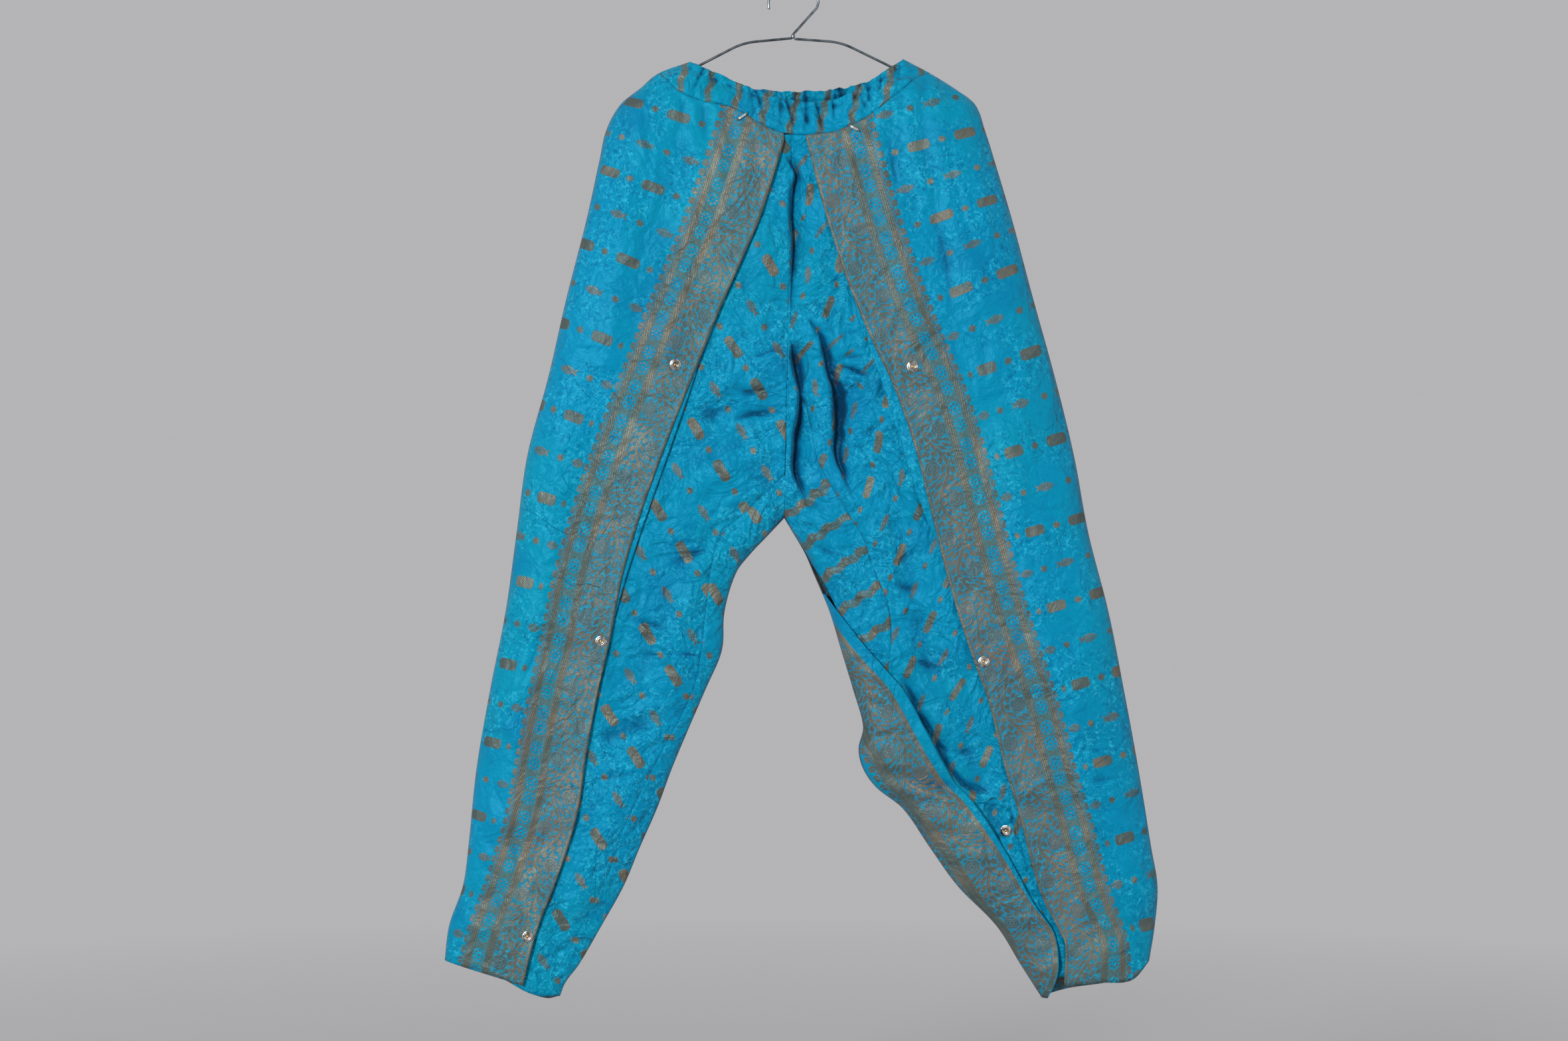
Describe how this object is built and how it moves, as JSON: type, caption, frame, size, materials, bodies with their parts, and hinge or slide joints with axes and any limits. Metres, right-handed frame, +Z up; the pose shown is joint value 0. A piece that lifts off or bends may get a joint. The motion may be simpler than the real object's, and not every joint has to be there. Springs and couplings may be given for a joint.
{
  "type": "dhoti salwar on a wire hanger",
  "caption": "Draped dhoti salwar of silk brocade with overlapping bordered leg flaps, a gathered waistband and tapering legs, hanging from a wire hanger by its hook.",
  "frame": {"origin": "inside top of the hanger's hook, where it rests on a rail", "axes": "+Z up, the garment's front faces -Y, +X is the wearer's left"},
  "size_m": [0.7842, 0.0552, 1.1245],
  "materials": {
    "cloth": "silk brocade with antique gold-grey woven motifs and borders",
    "facing": "plain satin",
    "stud": "nickel plate",
    "bead": "silver lined",
    "wire": "polished wire"
  },
  "bodies": {
    "root": {"flap_right": "cloth", "flap_left": "cloth", "inner_right": "cloth", "inner_left": "cloth", "gusset_right": "cloth", "gusset_left": "cloth", "back_right": "cloth", "back_left": "cloth", "waistband_front": "cloth", "waistband_back": "cloth", "facing_right": "facing", "facing_left": "facing", "stud_flap_right_1": "stud", "stud_flap_right_2": "stud", "stud_flap_right_3": "stud", "stud_flap_left_1": "stud", "stud_flap_left_2": "stud", "stud_inner_left": "stud", "bead_right": "bead", "bead_left": "bead", "hanger_body": "wire", "hanger_hook": "wire"}
  },
  "joints": []
}
